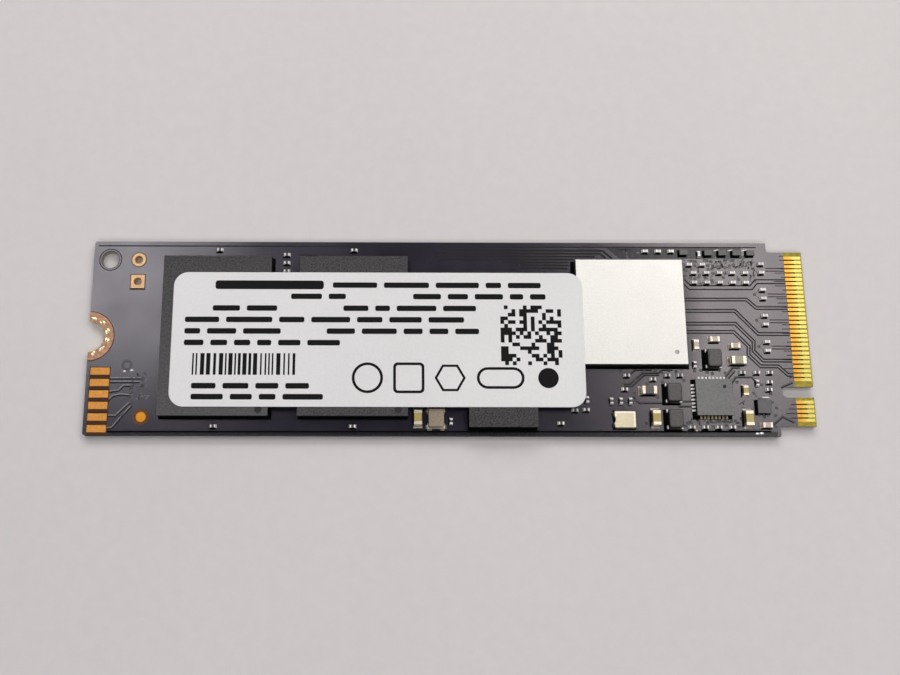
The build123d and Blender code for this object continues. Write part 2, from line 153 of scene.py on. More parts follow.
class Shape:
    """A mesh being built, in millimetres in the part's frame."""

    def __init__(self):
        self.mesh = bmesh.new()

    def ring_of(self, outline, z):
        return [self.mesh.verts.new((x * MM, y * MM, z * MM)) for x, y in outline]

    def bridge(self, lower, upper):
        count = len(lower)
        for i in range(count):
            after = (i + 1) % count
            self.mesh.faces.new((lower[i], lower[after], upper[after], upper[i]))

    def stack(self, *levels):
        """A closed solid through outlines of as many points each, from the lowest to the highest."""
        rings = [self.ring_of(outline, z) for outline, z in levels]
        self.mesh.faces.new(rings[0][::-1])
        for lower, upper in zip(rings, rings[1:]):
            self.bridge(lower, upper)
        self.mesh.faces.new(rings[-1])

    def prism(self, outline, bottom, top):
        self.stack((outline, bottom), (outline, top))

    def layer(self, outline, height):
        """A thin layer on the card."""
        self.prism(outline, CARD_TOP, CARD_TOP + height)

    def band(self, outer, inner, bottom, top):
        """A flat frame between two outlines of as many points each."""
        levels = [(outer, bottom), (outer, top), (inner, top), (inner, bottom)]
        rings = [self.ring_of(outline, z) for outline, z in levels]
        for ring, after in zip(rings, rings[1:] + rings[:1]):
            self.bridge(ring, after)

    def dome(self, x, y, half_length, half_width, turn, bottom, height, levels=3):
        """A low blob with an ellipse for its foot."""
        rings = []
        for i in range(levels):
            angle = math.pi / 2 * i / levels
            share = math.cos(angle)
            outline = ellipse(x, y, half_length * share, half_width * share, turn)
            rings.append((outline, bottom + height * math.sin(angle)))
        self.stack(*rings)

    def field(self, points, bottom):
        """A closed solid under a grid of points, given as rows of (x, y, z)."""
        top = [[self.mesh.verts.new(Vector(p) * MM) for p in line] for line in points]
        for line, after in zip(top, top[1:]):
            for i in range(len(line) - 1):
                self.mesh.faces.new((line[i], line[i + 1], after[i + 1], after[i]))
        rim = top[0] + [line[-1] for line in top[1:-1]]
        rim += top[-1][::-1] + [line[0] for line in top[-2:0:-1]]
        foot = [self.mesh.verts.new((v.co.x, v.co.y, bottom * MM)) for v in rim]
        self.bridge(foot, rim)
        self.mesh.faces.new(foot)

    def piece(self, name, finish, slot, smooth=False):
        bmesh.ops.recalc_face_normals(self.mesh, faces=self.mesh.faces)
        for face in self.mesh.faces:
            face.smooth = smooth
        mesh = bpy.data.meshes.new(name)
        self.mesh.to_mesh(mesh)
        self.mesh.free()
        mesh.materials.append(FINISHES[finish])
        piece = added(name, mesh)
        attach(piece, "root")
        return piece


# Boxes of the carried-over solids

def extent(points):
    """The lowest and the highest corner of the box around points."""
    low = Vector([min(p[i] for p in points) for i in range(3)])
    high = Vector([max(p[i] for p in points) for i in range(3)])
    return low, high


def solids_of(node):
    """The boxes of the separate solids in a node, in a fixed order."""
    mesh = bmesh.new()
    mesh.from_mesh(frame["nodes"][node].data)
    bmesh.ops.remove_doubles(mesh, verts=mesh.verts, dist=WELD_GAP * MM)
    waiting = set(mesh.verts)
    boxes = []
    while waiting:
        stack = [waiting.pop()]
        places = []
        while stack:
            vertex = stack.pop()
            places.append(vertex.co / MM)
            for edge in vertex.link_edges:
                other = edge.other_vert(vertex)
                if other in waiting:
                    waiting.remove(other)
                    stack.append(other)
        boxes.append(extent(places))
    mesh.free()
    return sorted(boxes, key=lambda pair: tuple(pair[0]))


def middle_of(pair):
    return (pair[0] + pair[1]) / 2


def chips(body_nodes, terminal_node):
    """Each chip as its body's box, the boxes of its two terminals, and the box of all three."""
    terminals = solids_of(terminal_node)
    found = []
    for body in [pair for node in body_nodes for pair in solids_of(node)]:
        middle = middle_of(body)
        ends = sorted(terminals, key=lambda pair: (middle_of(pair) - middle).length)[:2]
        corners = [corner for pair in [body] + ends for corner in pair]
        found.append((body, ends, extent(corners)))
    return found


def small_part_boxes():
    boxes = solids_of("beads")
    for bodies, terminals in BYPASS_GROUPS + CAPACITOR_GROUPS:
        boxes += [box for _, _, box in chips(bodies, terminals)]
    return boxes


# Materials

class Finish:
    """A procedural material whose textures lie in the part's frame."""

    def __init__(self, name):
        material = bpy.data.materials.new(name)
        material.use_nodes = True
        FINISHES[name] = material
        self.tree = material.node_tree
        self.shader = self.tree.nodes["Principled BSDF"]
        self.place = self.node("ShaderNodeTexCoord").outputs["Object"]

    def node(self, kind, **settings):
        node = self.tree.nodes.new(kind)
        for key, value in settings.items():
            setattr(node, key, value)
        return node

    def feed(self, socket, value):
        """Links an output to a socket, or sets a plain value on it."""
        if isinstance(value, bpy.types.NodeSocket):
            self.tree.links.new(value, socket)
        else:
            socket.default_value = value

    def feed_all(self, node, *values):
        for socket, value in zip(node.inputs, values):
            self.feed(socket, value)

    def set(self, **values):
        for name, value in values.items():
            self.feed(self.shader.inputs[name.replace("_", " ")], value)

    def noise(self, size, detail=3.0, roughness=0.55):
        """Noise with features of about this size in millimetres."""
        node = self.node("ShaderNodeTexNoise")
        self.feed(node.inputs["Vector"], self.place)
        self.feed(node.inputs["Scale"], 1 / (size * MM))
        self.feed(node.inputs["Detail"], detail)
        self.feed(node.inputs["Roughness"], roughness)
        return node.outputs["Fac"]

    def remap(self, source, low, high, from_low=0.3, from_high=0.7):
        node = self.node("ShaderNodeMapRange")
        self.feed_all(node, source, from_low, from_high, low, high)
        return node.outputs["Result"]

    def math(self, operation, *values):
        node = self.node("ShaderNodeMath", operation=operation)
        self.feed_all(node, *values)
        return node.outputs["Value"]

    def mix(self, factor, first, second, blend="MIX"):
        node = self.node("ShaderNodeMix", data_type="RGBA", blend_type=blend)
        colours = [s for s in node.inputs if s.type == "RGBA"]
        self.feed(node.inputs["Factor"], factor)
        self.feed(colours[0], first)
        self.feed(colours[1], second)
        return next(s for s in node.outputs if s.type == "RGBA")

    def axis(self, letter):
        node = self.node("ShaderNodeSeparateXYZ")
        self.feed(node.inputs["Vector"], self.place)
        return node.outputs[letter]

    def normal(self, letter):
        node = self.node("ShaderNodeSeparateXYZ")
        self.feed(node.inputs["Vector"], self.node("ShaderNodeNewGeometry").outputs["Normal"])
        return node.outputs[letter]

    def near(self, x, y, radius):
        """One inside an upright cylinder, given in millimetres, and nought outside it."""
        aside = self.math("POWER", self.math("SUBTRACT", self.axis("X"), x * MM), 2.0)
        along = self.math("POWER", self.math("SUBTRACT", self.axis("Y"), y * MM), 2.0)
        return self.math("LESS_THAN", self.math("ADD", aside, along), (radius * MM) ** 2)

    def steep(self):
        """One on upright walls and nought on level faces, with a soft change between."""
        return self.remap(self.math("ABSOLUTE", self.normal("Z")), 1.0, 0.0, 0.5, 0.8)

    def bump(self, height, depth):
        """Bumps of this depth in millimetres."""
        node = self.node("ShaderNodeBump")
        self.feed(node.inputs["Height"], height)
        self.feed(node.inputs["Distance"], depth * MM)
        self.feed(self.shader.inputs["Normal"], node.outputs["Normal"])


def rgba(colour):
    return (*colour, 1.0)


def varied(finish, colour, mottle, mottle_share, grain, grain_share):
    """A colour that a broad noise and a fine noise make lighter and darker."""
    broad = finish.remap(mottle, 1 - mottle_share, 1 + mottle_share)
    fine = finish.remap(grain, 1 - grain_share, 1 + grain_share, 0.38, 0.62)
    return finish.mix(1.0, rgba(colour), finish.math("MULTIPLY", broad, fine), "MULTIPLY")


def surface(name, colour, roughness, metallic=0.0, specular=0.5,
            mottle_size=3.0, mottle_share=0.08, grain_size=0.12, grain_share=0.08,
            roughness_spread=0.06, depth=0.003):
    """A material of one colour with broad and fine variation, uneven gloss and a fine bump."""
    finish = Finish(name)
    mottle = finish.noise(mottle_size)
    grain = finish.noise(grain_size, detail=2.0)
    finish.set(
        Base_Color=varied(finish, colour, mottle, mottle_share, grain, grain_share),
        Roughness=finish.remap(grain, roughness - roughness_spread, roughness + roughness_spread),
        Metallic=metallic,
        Specular_IOR_Level=specular,
    )
    finish.bump(grain, depth)


MASK = (0.0085, 0.0065, 0.017)
MASK_TINT = (1.0, 0.95, 0.985, 1.0)
MASK_GLOSS = 0.85
MASK_ROUGHNESS = (0.2, 0.26)
MASK_DEPTH = 0.002
LAMINATE = (0.31, 0.25, 0.03)
# Cut edges of the laminate: painted shade on the outer edges, and a lighter copy as painted light on
# the walls of the key slot, from where it starts, and of the tooling hole
LAMINATE_EDGE = (0.05, 0.043, 0.035)
LIT_EDGE = (0.3, 0.28, 0.22)
LIT_EDGE_START = 36.3
PLATED_WALL = (0.85, 0.72, 0.38)
WALL_REACH = 1.85
HOLE_REACH = 1.1
BARE_OVERLAP = 0.02

# Painted shade beside the controller's lid: how far the mask is dullest and where it is itself again
LID_SHADE_REACH = (0.4, 2.6)
LID_SHADE_GLOSS = 0.48

# Contact gold at the mask, and paler towards the card's end as a painted reflection; and where one
# blends into the other
CONTACT_ROOT = (0.68, 0.36, 0.06)
CONTACT_HIGHLIGHT = (0.66, 0.58, 0.16)
CONTACT_BLEND = (0.4, 1.2)
# Tin of the power chip's pads: painted bright as lit, in painted shade along the front, in darker
# painted shade on the contact side, and how far these bands reach
LEAD_LIT = (0.92, 0.9, 0.89)
LEAD_SHADED = (0.42, 0.34, 0.22)
LEAD_DEEP_SHADE = (0.13, 0.125, 0.14)
LEAD_EDGE = 0.1
# Nickel of the lid's top, and of its walls in painted shade
LID_TOP = (0.71, 0.703, 0.675)
LID_WALL_SHADE = (0.06, 0.058, 0.055)


def mask_look(finish):
    """The broad noise, the fine noise and the colour of the card's mask."""
    mottle = finish.noise(6.0)
    grain = finish.noise(0.35, detail=4.0)
    return mottle, grain, varied(finish, MASK, mottle, 0.15, grain, 0.06)


def card_material():
    """Satin mask on the faces, bare laminate by the contacts and on cut edges, plated notch wall."""
    finish = Finish("card_mask")
    mottle, grain, mask = mask_look(finish)
    laminate = varied(finish, LAMINATE, mottle, 0.1, grain, 0.2)
    # The cut edge in painted shade, and its lighter copy as painted light on the slot and hole walls
    shaded_edge = varied(finish, LAMINATE_EDGE, mottle, 0.2, grain, 0.3)
    lit_edge = varied(finish, LIT_EDGE, mottle, 0.1, grain, 0.15)
    wall = varied(finish, PLATED_WALL, mottle, 0.1, grain, 0.2)
    bare = finish.math("GREATER_THAN", finish.axis("X"), (CONTACT_START - BARE_OVERLAP) * MM)
    upright = finish.math("LESS_THAN", finish.math("ABSOLUTE", finish.normal("Z")), 0.4)
    plated = finish.math("MULTIPLY", upright, finish.near(SCREW_END, 0, WALL_REACH))
    in_slot = finish.math("GREATER_THAN", finish.axis("X"), LIT_EDGE_START * MM)
    pale = finish.math("MAXIMUM", in_slot, finish.near(*TOOLING_HOLE, HOLE_REACH))
    edge = finish.mix(pale, shaded_edge, lit_edge)
    dull = finish.math("MAXIMUM", upright, bare)
    face = finish.mix(bare, mask, laminate)
    roughness = finish.remap(mottle, *MASK_ROUGHNESS)
    finish.set(
        Base_Color=finish.mix(plated, finish.mix(upright, face, edge), wall),
        Roughness=finish.math("ADD", roughness, finish.math("MULTIPLY", dull, 0.4)),
        Metallic=finish.math("MULTIPLY", plated, 0.4),
        Specular_IOR_Level=finish.remap(dull, MASK_GLOSS, 0.3, 0.0, 1.0),
        Specular_Tint=MASK_TINT,
    )
    finish.bump(grain, MASK_DEPTH)


def lid_shade_mask():
    """The card's mask, with less gloss beside the controller's lid as painted shade."""
    finish = Finish("lid_shade_mask")
    mottle, grain, mask = mask_look(finish)
    ends = [(box_mm("controller_lid")[1].x + distance) * MM for distance in LID_SHADE_REACH]
    finish.set(
        Base_Color=mask,
        Roughness=finish.remap(mottle, *MASK_ROUGHNESS),
        Specular_IOR_Level=finish.remap(finish.axis("X"), LID_SHADE_GLOSS, MASK_GLOSS, *ends),
        Specular_Tint=MASK_TINT,
    )
    finish.bump(grain, MASK_DEPTH)


def contact_material():
    """Gold that is redder where the contacts leave the mask and paler towards the end of the card, the
    paler gold being a painted reflection of the light.
    """
    finish = Finish("contact_gold")
    mottle = finish.noise(1.5)
    grain = finish.noise(0.2, detail=2.0)
    blend_ends = [(CONTACT_START + distance) * MM for distance in CONTACT_BLEND]
    blend = finish.remap(finish.axis("X"), 0.0, 1.0, *blend_ends)
    root = varied(finish, CONTACT_ROOT, mottle, 0.08, grain, 0.12)
    tip = varied(finish, CONTACT_HIGHLIGHT, mottle, 0.08, grain, 0.12)
    finish.set(
        Base_Color=finish.mix(blend, root, tip),
        Roughness=finish.remap(grain, 0.42, 0.54),
        Metallic=1.0,
    )
    finish.bump(grain, 0.003)


def lead_material():
    """Tin on the pads of the power chip, painted bright as lit, with painted shade along its front and
    contact sides.
    """
    finish = Finish("lead_tin")
    grain = finish.noise(0.1, detail=2.0)
    front = box_mm("power_chip")[0].y
    right = box_mm("power_chip")[1].x
    before = finish.math("LESS_THAN", finish.axis("Y"), (front + LEAD_EDGE) * MM)
    beside = finish.math("GREATER_THAN", finish.axis("X"), (right - LEAD_EDGE) * MM)
    bright = varied(finish, LEAD_LIT, grain, 0.05, grain, 0.08)
    shaded_leads = varied(finish, LEAD_SHADED, grain, 0.05, grain, 0.15)
    dim = varied(finish, LEAD_DEEP_SHADE, grain, 0.05, grain, 0.15)
    finish.set(
        Base_Color=finish.mix(beside, finish.mix(before, bright, shaded_leads), dim),
        Roughness=finish.remap(grain, 0.3, 0.4),
        Metallic=0.1,
    )
    finish.bump(grain, 0.002)


def lid_material():
    """Blasted nickel with faint streaks, with painted shade on its walls."""
    finish = Finish("lid_nickel")
    mottle = finish.noise(2.5)
    grain = finish.noise(0.09, detail=2.0)
    top = varied(finish, LID_TOP, mottle, 0.02, grain, 0.06)
    finish.set(
        Base_Color=finish.mix(finish.steep(), top, rgba(LID_WALL_SHADE)),
        Roughness=finish.remap(mottle, 0.5, 0.58),
        Metallic=1.0,
    )
    finish.bump(grain, 0.002)


def mould(name, colour, roughness, speckle, specular=0.5, depth=0.01,
          wall_shade_share=0.15, mottle_share=0.08, front_light=0.0):
    """Lighter and darker grains on the top, as of moulding compound or plating, and walls in painted
    shade.

    The front light is added to the colour at the card's front edge and fades out at its back edge.
    """
    finish = Finish(name)
    mottle = finish.noise(4.0)
    grain = finish.noise(0.18, detail=3.0, roughness=0.7)
    steep = finish.steep()
    top = varied(finish, colour, mottle, mottle_share, grain, speckle)
    lift = finish.remap(finish.axis("Y"), front_light, 0.0, FRONT_EDGE * MM, BACK_EDGE * MM)
    # The walls keep this share of the colour and of the gloss, as painted shade
    walls = rgba([wall_shade_share * c for c in colour])
    finish.set(
        Base_Color=finish.mix(steep, finish.mix(1.0, top, lift, "ADD"), walls),
        Roughness=finish.remap(grain, roughness - 0.08, roughness + 0.08),
        Specular_IOR_Level=finish.remap(steep, specular, specular * wall_shade_share, 0.0, 1.0),
    )
    finish.bump(grain, depth)


# Mask, laminate and shade
card_material()
lid_shade_mask()
surface("strip_mask", (0.014, 0.0125, 0.019), 0.25, specular=0.35)
surface("gap_mask", (0.009, 0.008, 0.0095), 0.5, specular=0.2)
surface("shade_mask", (0.002, 0.0018, 0.0022), 0.8, specular=0.05)
surface("shine_mask", (0.2, 0.19, 0.2), 0.3, grain_size=0.2, grain_share=0.2)
surface("faint_shine", (0.045, 0.042, 0.046), 0.3, grain_size=0.2, grain_share=0.2)
surface("via_mask", (0.016, 0.014, 0.017), 0.3, specular=0.7, grain_size=0.1)
surface("breakout_gap", (0.03, 0.028, 0.028), 0.35, grain_size=0.1)
surface("breakout_ridge", (0.11, 0.105, 0.1), 0.3, grain_size=0.1)
surface("bare_laminate", (0.055, 0.022, 0.01), 0.65, specular=0.2, grain_share=0.2)
surface("red_laminate", (0.1, 0.04, 0.02), 0.6, specular=0.3, grain_share=0.2)
# Laminate between the contacts, in painted shade
surface("shaded_laminate", (0.035, 0.016, 0.002), 0.7, specular=0.1, grain_share=0.2)
surface("substrate", (0.012, 0.013, 0.012), 0.5)

# Gold, tin and nickel
contact_material()
lead_material()
lid_material()
surface("pad_gold", (0.71, 0.335, 0.084), 0.55, metallic=1.0, grain_size=0.15, grain_share=0.12)
surface("header_gold", (0.7, 0.47, 0.26), 0.5, metallic=1.0, grain_size=0.15, grain_share=0.12)
surface("ring_gold", (0.48, 0.27, 0.18), 0.5, metallic=1.0, grain_size=0.3, grain_share=0.25)
surface("fiducial_gold", (0.75, 0.31, 0.03), 0.5, metallic=1.0, grain_size=0.15)
surface("glint_gold", (0.95, 0.8, 0.45), 0.3, metallic=1.0, grain_size=0.1)
surface("solder", (0.56, 0.48, 0.41), 0.5, metallic=1.0, grain_size=0.1, grain_share=0.2)
surface("terminal_tin", (0.78, 0.72, 0.58), 0.38, metallic=0.8, grain_size=0.08, grain_share=0.15)
surface("cream_tin", (0.82, 0.71, 0.62), 0.38, metallic=0.6, grain_size=0.08, grain_share=0.15)
surface("dark_tin", (0.1, 0.095, 0.09), 0.45, metallic=0.9, grain_size=0.08, grain_share=0.2)
surface("bright_tin", (0.9, 0.87, 0.86), 0.35, metallic=0.2, grain_size=0.1)
# Pads of the load switch, dark as painted shade
surface("shaded_switch_tin", (0.08, 0.08, 0.075), 0.4, grain_size=0.1)
surface("crystal_lid", (0.66, 0.59, 0.43), 0.42, metallic=0.9, grain_size=0.1)
surface("rim_metal", (0.85, 0.82, 0.76), 0.4, metallic=0.9, grain_size=0.1)
surface("mark_nickel", (0.34, 0.33, 0.31), 0.5, metallic=1.0)
SMALL_CHIP_LOOK = {"depth": 0.001, "wall_shade_share": 0.2, "mottle_share": 0.25}
mould("pink_tin", (0.78, 0.745, 0.735), 0.38, 0.05, **SMALL_CHIP_LOOK)

# Moulding compound, ceramic and ferrite
PACKAGE_LOOK = {"roughness": 0.41, "speckle": 0.95, "specular": 0.45, "depth": 0.03}
mould("chip_mould", (0.028, 0.025, 0.028), **PACKAGE_LOOK)
mould("flash_1_mould", (0.024, 0.0215, 0.024), **PACKAGE_LOOK, front_light=0.045)
mould("flash_2_mould", (0.028, 0.025, 0.028), **PACKAGE_LOOK, front_light=0.014)
mould("power_mould", (0.15, 0.147, 0.147), 0.52, 0.18, depth=0.006)
mould("switch_mould", (0.1, 0.095, 0.1), 0.5, 0.14)
mould("bulk_mould", (0.26, 0.205, 0.15), 0.5, 0.12, wall_shade_share=0.5)
mould("ferrite", (0.068, 0.062, 0.062), 0.42, 0.3)
mould("bead_ferrite", (0.085, 0.083, 0.08), 0.4, 0.3, depth=0.004)
mould("ceramic_tan", (0.38, 0.3, 0.095), 0.32, 0.12, depth=0.003, wall_shade_share=0.3)
mould("pale_ceramic", (0.63, 0.595, 0.575), 0.4, 0.05, **SMALL_CHIP_LOOK)
surface("ceramic_grey", (0.06, 0.055, 0.055), 0.5, grain_size=0.08, grain_share=0.15)
surface("pink_ceramic", (0.5, 0.42, 0.37), 0.4, grain_size=0.08, grain_share=0.15)
surface("grey_ceramic", (0.31, 0.285, 0.215), 0.35, grain_size=0.1, grain_share=0.12)
surface("dark_ceramic", (0.09, 0.085, 0.085), 0.4, grain_size=0.08, grain_share=0.15)
surface("crystal_ceramic", (0.045, 0.038, 0.033), 0.5)
surface("mark_mould", (0.02, 0.02, 0.021), 0.6, specular=0.3)

# Label and floor
surface("label_film", (0.7, 0.69, 0.695), 0.42, mottle_size=8.0, mottle_share=0.02,
        grain_size=0.3, grain_share=0.015, depth=0.001)
surface("label_ink", (0.008, 0.008, 0.009), 0.75, specular=0.1, grain_size=0.15, grain_share=0.2)
surface("floor", (0.615, 0.588, 0.587), 0.9, specular=0.2, mottle_size=40.0, mottle_share=0.015,
        grain_size=1.5, grain_share=0.01)


# Carried-over nodes: the finish is named like the slot, apart from these slots and nodes

SLOT_FINISHES = {"solder_mask": "card_mask", "lid_metal": "lid_nickel"}
FINISH_NODES = {
    "header_gold": ["header_pad_round", "header_pad_square"],
    "ring_gold": ["screw_ring"],
    "fiducial_gold": ["fiducial"],
    "flash_1_mould": ["flash_chip_1"],
    "flash_2_mould": ["flash_chip_2"],
    "switch_mould": ["load_switch"],
    "bead_ferrite": ["beads"],
    "pale_ceramic": ["coupling_capacitor_bodies", "controller_bypass_bodies"],
    "grey_ceramic": ["capacitor_1_body"],
    "dark_ceramic": ["capacitor_2_body"],
    "pink_ceramic": [f"small_capacitor_{n}_body" for n in (1, 2, 3, 5)],
    "pink_tin": [f"{name}_terminals" for name in BYPASS_CHIPS],
    "cream_tin": ["small_capacitor_terminals"],
    "dark_tin": [f"{name}_terminals" for name in INDUCTORS],
    "shaded_switch_tin": ["load_switch_pads"],
    "lead_tin": ["power_chip_pads"],
}
NODE_FINISHES = {node: finish for finish, nodes in FINISH_NODES.items() for node in nodes}

# How far the edges are rounded, by slot and for the smallest chips
EDGE_SOFTNESS = {
    "chip_mould": 0.04,
    "power_mould": 0.03,
    "lid_metal": 0.05,
    "terminal_tin": 0.03,
    "ceramic_tan": 0.03,
    "ceramic_grey": 0.02,
    "crystal_lid": 0.03,
    "contact_gold": 0.01,
    "pad_gold": 0.01,
    "solder": 0.015,
}
SMALL_SOFTNESS = 0.02
SMALL_NODES = FINISH_NODES["pink_tin"] + FINISH_NODES["pale_ceramic"]
SLOT_OF = {subpart["node"]: subpart["material_slot"] for subpart in frame["record"]["subparts"]}


def soften(node, width):
    """Joins the node's split vertices and rounds its edges."""
    weld = node.modifiers.new("weld", "WELD")
    weld.merge_threshold = WELD_GAP * MM
    bevel = node.modifiers.new("bevel", "BEVEL")
    bevel.width = width * MM
    bevel.segments = 2
    bevel.limit_method = "ANGLE"
    bevel.angle_limit = math.radians(40)
    bevel.harden_normals = True


def dress_nodes():
    for name, slot in SLOT_OF.items():
        node = frame["nodes"][name]
        finish = NODE_FINISHES.get(name, SLOT_FINISHES.get(slot, slot))
        node.data.materials.clear()
        node.data.materials.append(FINISHES[finish])
        softness = SMALL_SOFTNESS if name in SMALL_NODES else EDGE_SOFTNESS.get(slot)
        if softness:
            soften(node, softness)


# Lines on the card

LINE_WIDTH = 0.15

# Signal pairs from the controller to the contacts: middle line and distance between the two lines
LANE_END = CONTACT_START - 0.05
LANES = [
    ([(26.4, 6.5), (27.1, 5.77), (34.0, 5.78), (34.6, 6.48), (LANE_END, 6.48)], 0.44),
    ([(26.1, 4.37), (33.35, 4.39), (34.4, 3.41), (LANE_END, 3.41)], 0.3),
    ([(26.1, 3.05), (31.95, 3.07), (34.38, 0.42), (LANE_END, 0.42)], 0.31),
    ([(26.1, 1.58), (31.9, 1.6), (33.8, -0.45), (33.7, -1.5), (34.7, -2.6), (LANE_END, -2.6)], 0.3),
    ([(26.1, 0.64), (31.65, 0.65), (33.2, -1.0), (33.1, -1.95), (34.35, -3.25), (36.3, -3.25),
      (37.3, -4.2), (LANE_END, -4.2)], 0.3),
]

# Each lane's two coupling capacitors: a fork before them, and two lines on to the contacts
FORK_REACH = 0.6
FORK_END = 0.05
FORK_SPREAD = 0.55
FORK_WIDTH = 0.09
PAIR_LINES = (0.04, -0.28)
PAIR_START = 0.25
PAIR_WIDTH = 0.11

# Lines along the back edge: where each starts and ends, at one pitch from the edge
BUS_FIRST = BACK_EDGE - 0.93
BUS_PITCH = 0.35
BUS_WIDTH = 0.21
BUS_SPANS = [
    (-0.4, 17.42), (-1.7, 17.16), (-1.7, 16.5), (-1.7, 14.1), (6.0, 13.5), (8.0, 13.5), (8.0, 13.4),
]
BUS_BENDS = {0: (18.48, 9.13), 1: (17.77, 9.13)}
BACK_BAR = [(19.0, 10.18), (20.6, 10.18)]
SLOT_LINE = [(-16.9, 9.45), (-14.9, 9.45)]

# Lines from the test pads
TEST_PAD_LINES = [
    [(-37.5, -4.82), (-33.9, -4.8)],
    [(-37.5, -5.21), (-34.1, -5.21)],
    [(-37.5, -6.33), (-36.3, -6.15), (-35.8, -5.62), (-35.1, -5.62)],
    [(-37.5, -7.4), (-36.9, -6.77), (-36.1, -6.6), (-35.2, -6.68)],
    [(-37.5, -8.96), (-36.5, -8.96), (-35.0, -7.47)],
    [(-37.5, -10.36), (-36.8, -10.27), (-35.95, -9.2), (-34.8, -7.82)],
]

# Lines of the power area
POWER_LINES = [
    [(19.06, -5.3), (19.78, -5.3), (21.23, -4.06), (22.93, -4.06), (23.43, -3.73), (24.57, -3.72)],
    [(19.13, -5.54), (20.0, -5.54), (21.37, -4.31), (23.08, -4.3)],
    [(19.93, -4.15), (20.43, -3.73), (22.3, -3.73)],
    [(30.18, -4.7), (31.25, -3.46), (32.06, -3.46)],
    [(30.5, -4.86), (31.47, -3.79)],
    [(30.95, -6.34), (31.04, -5.19), (31.49, -4.53), (33.28, -4.53), (33.49, -4.86)],
    [(20.04, -6.68), (20.64, -7.41), (23.38, -7.41)],
    [(36.42, -5.67), (37.77, -5.1)],
    [(35.1, -9.9), (36.31, -8.93), (37.54, -9.57)],
    [(27.36, -10.47), (34.1, -10.46)],
    [(24.99, -7.49), (25.48, -7.24), (26.45, -7.24)],
    [(24.96, -7.81), (25.53, -7.78), (26.42, -7.78)],
]
# Painted highlights beside lines: the lines they follow and their finish
RIDGE_HIGHLIGHTS = {
    "line_highlights": (TEST_PAD_LINES, "shine_mask"),
    "power_highlights": (POWER_LINES, "faint_shine"),
}
RIDGE_SHIFT = 0.16
RIDGE_WIDTH = 0.1

# Lines along the card's long edges; the one before the front edge is wider and darker, as painted shade
BACK_EDGE_LINE = [(SCREW_END + 0.4, BACK_EDGE - 0.5), (34.9, BACK_EDGE - 0.5)]
FRONT_EDGE_SHADE_LINE = [(SCREW_END + 0.4, FRONT_EDGE + 0.39), (34.9, FRONT_EDGE + 0.49)]
BACK_EDGE_WIDTH = 0.14
FRONT_SHADE_WIDTH = 0.2

# Short stubs at some of the contacts
STUB_SHARE = 0.7
STUB_LENGTHS = (0.4, 1.3)
STUB_SIDE = 0.07
STUB_WIDTH = 0.09


def add_lines(shape, paths, width=LINE_WIDTH):
    for path in paths:
        shape.layer(ribbon(path, width), LINE_HEIGHT)


def lane_pairs():
    """The first box of each pair of coupling capacitors, and the pair's middle, from back to front."""
    boxes = [box for _, _, box in chips(["coupling_capacitor_bodies"], "coupling_capacitor_terminals")]
    boxes.sort(key=lambda box: -box[1].y)
    pairs = zip(boxes[::2], boxes[1::2])
    return [(first, (middle_of(first).y + middle_of(second).y) / 2) for first, second in pairs]


def card_lines():
    shape = Shape()
    for path, gap in LANES:
        add_lines(shape, [shifted_path(path, gap / 2), shifted_path(path, -gap / 2)])
    for step, (start, end) in enumerate(BUS_SPANS):
        y = BUS_FIRST - BUS_PITCH * step
        bend = [BUS_BENDS[step]] if step in BUS_BENDS else []
        add_lines(shape, [[(start, y), (end, y)] + bend], BUS_WIDTH)
    add_lines(shape, TEST_PAD_LINES + POWER_LINES + [SLOT_LINE, BACK_BAR])
    for (_, high), middle in lane_pairs():
        for step in PAIR_LINES:
            y = middle + step
            add_lines(shape, [[(high.x + PAIR_START, y), (LANE_END, y)]], PAIR_WIDTH)
    add_lines(shape, [BACK_EDGE_LINE], BACK_EDGE_WIDTH)
    draw = random.Random(11)
    for _, high in solids_of("edge_contacts_top"):
        length = draw.uniform(*STUB_LENGTHS)
        if draw.random() < STUB_SHARE:
            y = high.y + STUB_SIDE
            add_lines(shape, [[(CONTACT_START - length, y), (CONTACT_START, y)]], STUB_WIDTH)
    shape.piece("card_lines", "gap_mask", "solder_mask")


def lane_forks():
    shape = Shape()
    for (low, _), middle in lane_pairs():
        fork = (low.x - FORK_REACH, middle)
        for side in (1, -1):
            end = (low.x - FORK_END, middle + side * FORK_SPREAD)
            add_lines(shape, [[fork, end]], FORK_WIDTH)
    shape.piece("lane_forks", "via_mask", "solder_mask")


def line_highlights():
    """Painted highlights along one side of the lines from the test pads and of the power area."""
    for name, (paths, finish) in RIDGE_HIGHLIGHTS.items():
        shape = Shape()
        add_lines(shape, [shifted_path(path, RIDGE_SHIFT) for path in paths], RIDGE_WIDTH)
        shape.piece(name, finish, "solder_mask")


# Painted shade: duller mask before the front edge, along the back edge and beside the controller's lid

PAD_OPENING = 0.09
STRIP_GAP = 0.05
STRIP_INSET = 0.01
STRIP_END = 35.6
FIELD_BACK = BACK_EDGE - 0.57
BACK_FIELD = [(19.3, 9.15), (33.2, 9.15), (33.2, FIELD_BACK), (17.86, FIELD_BACK)]


def shade_fields():
    start = box_mm("test_pads")[1].x + PAD_OPENING + STRIP_GAP
    front = FRONT_EDGE + STRIP_INSET
    (_, first), (_, last) = FRONT_EDGE_SHADE_LINE
    shape = Shape()
    shape.layer([(start, front), (STRIP_END, front), (STRIP_END, last), (start, first)], FIELD_HEIGHT)
    shape.layer(BACK_FIELD, FIELD_HEIGHT)
    shape.piece("shade_fields", "strip_mask", "solder_mask")


def lid_shade_field():
    low, high = box_mm("controller_lid")
    shape = Shape()
    # A layer of the mask with painted shade beside the lid
    shape.layer(rectangle(high.x, low.y, high.x + LID_SHADE_REACH[1], high.y), FIELD_HEIGHT)
    shape.piece("lid_shade_field", "lid_shade_mask", "solder_mask")


